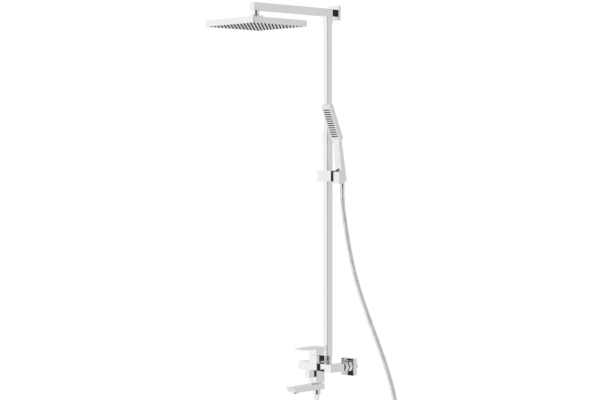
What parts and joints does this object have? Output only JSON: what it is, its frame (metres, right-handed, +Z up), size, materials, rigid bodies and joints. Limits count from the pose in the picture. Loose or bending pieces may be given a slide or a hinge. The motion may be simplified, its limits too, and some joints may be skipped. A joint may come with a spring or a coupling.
{
  "type": "rainfall shower column",
  "caption": "Wall-mounted rainfall shower column: lever mixer with swivel spout, telescopic square riser, square rain head on an arm, and a stick handset on a slider with a hose.",
  "frame": {"origin": "midway between the two wall inlets, on the wall plane", "axes": "+Z up along the riser, +Y into the wall along the inlets, +X to the right of a person who faces the wall"},
  "size_m": [0.4534, 0.4775, 1.5697],
  "materials": {
    "chrome": "polished chrome plate on brass or steel",
    "plated_plastic": "chrome-plated plastic, mirror bright",
    "face_metal": "satin plate behind the nozzles",
    "hose_skin": "bright spiral-wound metal hose over a plastic core",
    "brass": "machined",
    "steel": "stainless, machined",
    "black_rubber": "moulded seal",
    "silicone": "soft moulded silicone, dark grey",
    "inner_plastic": "moulded acetal, off-white",
    "grey_plastic": "moulded plastic, dark grey"
  },
  "bodies": {
    "root": {"mixer_body": "chrome", "wall_unions": "brass", "union_washers": "black_rubber", "union_nuts": "chrome", "wall_escutcheons": "chrome", "cartridge": "inner_plastic", "cartridge_nut": "brass", "outlet_stem": "brass", "stem_seals": "black_rubber", "swivel_ring": "inner_plastic", "spout_clip": "steel", "outer_riser": "chrome", "riser_washer": "black_rubber", "riser_nut": "chrome", "riser_collar": "chrome", "collar_seal": "black_rubber", "collar_screw": "steel", "shower_hose": "hose_skin", "hose_nut_mixer": "chrome", "hose_washer": "black_rubber"},
    "riser_top": {"inner_riser": "chrome", "riser_arm": "chrome", "arm_seal": "black_rubber", "arm_end_cap": "chrome", "bracket_stem": "chrome", "bracket_plate": "steel", "bracket_screw": "steel", "bracket_cover": "chrome", "head_nipple": "chrome"},
    "ball_seal": {"ball_seal": "black_rubber"},
    "ball_ring": {"ball_ring": "inner_plastic"},
    "rain_head": {"socket_nut": "chrome", "head_shell": "chrome", "head_faceplate": "face_metal", "nozzle_mat": "silicone"},
    "slider": {"slider_body": "plated_plastic", "slider_liner": "inner_plastic", "holder_screw": "steel", "button_spring": "steel"},
    "button": {"lock_button": "plated_plastic"},
    "holder": {"handset_holder": "plated_plastic"},
    "handset": {"handset_shell": "plated_plastic", "spray_plate": "face_metal", "spray_mat": "silicone", "hose_nut_handset": "chrome"},
    "lever_base": {"lever_carrier": "inner_plastic"},
    "lever": {"lever_handle": "chrome", "lever_spindle": "brass", "lever_screw": "steel", "lever_plug": "grey_plastic"},
    "diverter": {"diverter_knob": "chrome", "diverter_spindle": "brass"},
    "spout": {"spout": "chrome", "aerator_housing": "chrome", "aerator_insert": "grey_plastic"}
  },
  "joints": [
    {"name": "riser_slide", "type": "slide", "parent": "root", "child": "riser_top", "axis": [0, 0, 1], "range_m": [-0.33, 0.1]},
    {"name": "head_spin", "type": "hinge", "parent": "riser_top", "child": "ball_seal", "pos_m": [0, -0.35, 1.103], "axis": [0, 0, 1], "range_deg": [-180, 180]},
    {"name": "head_tilt", "type": "hinge", "parent": "ball_seal", "child": "ball_ring", "pos_m": [0, -0.35, 1.103], "axis": [1, 0, 0], "range_deg": [-10, 10]},
    {"name": "head_roll", "type": "hinge", "parent": "ball_ring", "child": "rain_head", "pos_m": [0, -0.35, 1.103], "axis": [0, 1, 0], "range_deg": [-10, 10]},
    {"name": "slider_slide", "type": "slide", "parent": "root", "child": "slider", "axis": [0, 0, 1], "range_m": [-0.3, 0.08], "deforming": ["shower_hose"]},
    {"name": "button_press", "type": "slide", "parent": "slider", "child": "button", "axis": [1, 0, 0], "range_m": [0, 0.003], "stiffness_N_per_m": 400, "springref_m": -0.001, "deforming": ["button_spring"]},
    {"name": "holder_tilt", "type": "hinge", "parent": "slider", "child": "holder", "pos_m": [0.0313, -0.0385, 0.612], "axis": [1, 0, 0], "range_deg": [-20, 20], "deforming": ["shower_hose"]},
    {"name": "handset_lift", "type": "slide", "parent": "holder", "child": "handset", "axis": [0, -0.2032, 0.9791], "range_m": [0, 0.06], "deforming": ["shower_hose"]},
    {"name": "lever_turn", "type": "hinge", "parent": "root", "child": "lever_base", "pos_m": [0, -0.086, 0.038], "axis": [0, 0, 1], "range_deg": [-45, 45]},
    {"name": "lever_lift", "type": "hinge", "parent": "lever_base", "child": "lever", "pos_m": [0, -0.086, 0.038], "axis": [-1, 0, 0], "range_deg": [0, 18]},
    {"name": "diverter_turn", "type": "hinge", "parent": "root", "child": "diverter", "pos_m": [0, -0.104, -0.02], "axis": [0, -1, 0], "range_deg": [0, 90]},
    {"name": "spout_swivel", "type": "hinge", "parent": "root", "child": "spout", "pos_m": [0, -0.086, -0.06], "axis": [0, 0, 1], "range_deg": [-60, 60]}
  ]
}
